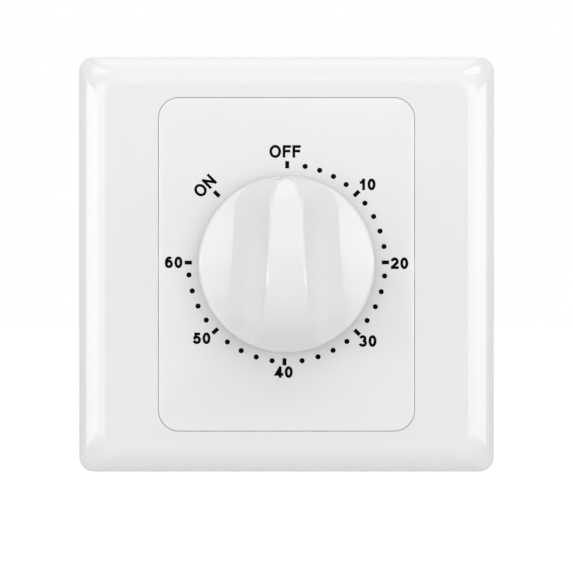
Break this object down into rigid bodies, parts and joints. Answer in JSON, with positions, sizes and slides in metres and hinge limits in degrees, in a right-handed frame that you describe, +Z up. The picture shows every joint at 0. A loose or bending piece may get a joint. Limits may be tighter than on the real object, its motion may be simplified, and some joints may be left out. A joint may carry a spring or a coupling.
{
  "type": "countdown timer light switch",
  "caption": "Square wall switch with a domed bar knob over a minute scale; a wind-up clockwork timer behind it opens the contacts when its time has run out.",
  "frame": {"origin": "middle of the two wall screw slots, in the plane of the wall", "axes": "+Z up the wall, +X to the right as seen from the room, +Y into the wall along the knob's axis"},
  "size_m": [0.086, 0.0602, 0.086],
  "materials": {
    "cover_white": "smooth moulded white plastic with a soft gloss",
    "base_white": "moulded white plastic, matt",
    "tub_grey": "moulded light grey plastic, fine spark texture",
    "block_black": "dark moulded phenolic",
    "acetal": "natural acetal",
    "brass": "stamped and turned brass",
    "steel": "bright zinc plated or polished steel",
    "contact_copper": "spring copper alloy strip",
    "contact_silver": "silver alloy contact"
  },
  "bodies": {
    "base": {"outer_frame": "cover_white", "dial_plate": "cover_white", "mounting_base": "base_white", "rear_tub": "tub_grey", "flange_screws": "steel", "front_plate": "brass", "rear_plate": "brass", "pillars": "steel", "pillar_screws": "steel", "movement_screws": "steel", "front_bush": "brass", "rear_bush": "brass", "stop_pin": "steel", "mainspring": "steel", "spring_post": "steel", "hairspring": "steel", "hairspring_stud": "brass", "terminal_block": "block_black", "block_screws": "steel", "line_clamp": "brass", "load_clamp": "brass", "terminal_screws": "steel", "line_strip": "contact_copper", "fixed_strip": "contact_copper", "fixed_rivet": "contact_silver"},
    "knob": {"knob": "cover_white", "knob_clip": "steel", "main_shaft": "steel", "stop_plate": "steel", "main_wheel": "brass", "clutch_spring": "steel", "clutch_collar": "brass", "switch_cam": "acetal"},
    "second": {"second_pinion": "steel", "second_wheel": "brass"},
    "third": {"third_pinion": "steel", "third_wheel": "acetal"},
    "escape": {"escape_pinion": "steel", "escape_wheel": "acetal"},
    "pallet": {"pallet_arbor": "steel", "pallet_lever": "steel"},
    "balance": {"balance_staff": "steel", "balance_wheel": "brass"},
    "blade": {"moving_blade": "contact_copper", "cam_follower": "acetal", "moving_rivet": "contact_silver"}
  },
  "joints": [
    {"name": "knob_turn", "type": "hinge", "parent": "base", "child": "knob", "pos_m": [0, 0, 0], "axis": [0, 1, 0], "range_deg": [-45, 270], "deforming": ["mainspring"]},
    {"name": "second_wheel_turn", "type": "hinge", "parent": "base", "child": "second", "pos_m": [-0.00819, 0, -0.0117], "axis": [0, 1, 0], "range_deg": [-2025, 337.5]},
    {"name": "third_wheel_turn", "type": "hinge", "parent": "base", "child": "third", "pos_m": [0.00177, 0, -0.01409], "axis": [0, 1, 0], "range_deg": [-2362.5, 14175]},
    {"name": "escape_wheel_turn", "type": "hinge", "parent": "base", "child": "escape", "pos_m": [0.01048, 0, -0.012], "axis": [0, 1, 0], "range_deg": [-85050, 14175]},
    {"name": "pallet_rock", "type": "hinge", "parent": "base", "child": "pallet", "pos_m": [0.01652, 0, -0.0048], "axis": [0, 1, 0], "range_deg": [-5, 5]},
    {"name": "balance_swing", "type": "hinge", "parent": "base", "child": "balance", "pos_m": [0.0145, 0, 0.00646], "axis": [0, 1, 0], "range_deg": [-120, 120], "stiffness_Nm_per_rad": 0.000002, "deforming": ["hairspring"]},
    {"name": "contact_blade_flex", "type": "hinge", "parent": "base", "child": "blade", "pos_m": [-0.0128, 0.0226, -0.00985], "axis": [0, 1, 0], "range_deg": [0, 2.3], "stiffness_Nm_per_rad": 0.05}
  ],
  "couplings": [
    {"joint": "second_wheel_turn", "follows": "knob_turn", "ratio": -7.5},
    {"joint": "third_wheel_turn", "follows": "knob_turn", "ratio": 52.5},
    {"joint": "escape_wheel_turn", "follows": "knob_turn", "ratio": -315}
  ]
}
